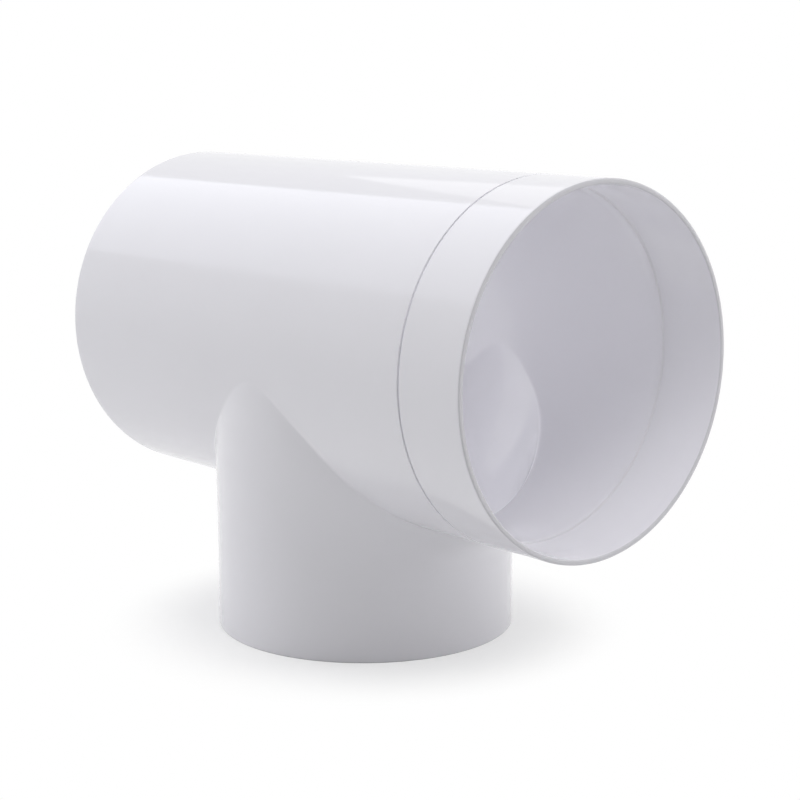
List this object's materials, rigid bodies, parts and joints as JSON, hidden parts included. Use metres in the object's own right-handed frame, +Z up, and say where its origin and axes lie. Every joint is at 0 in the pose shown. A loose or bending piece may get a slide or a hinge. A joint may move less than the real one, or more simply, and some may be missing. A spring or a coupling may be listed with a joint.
{
  "type": "duct tee",
  "caption": "Moulded plastic round duct tee: a straight run with a shallow socket at one end and a plain end at the other, and a smaller branch below.",
  "frame": {"origin": "centre of the branch's open end, in the plane that the tee stands on", "axes": "+X along the run, out of the socket; +Z up the branch's axis into the run"},
  "size_m": [0.215, 0.1252, 0.1707],
  "materials": {
    "white_plastic": "glossy white moulded plastic"
  },
  "bodies": {
    "root": {"tee_body": "white_plastic"}
  },
  "joints": []
}
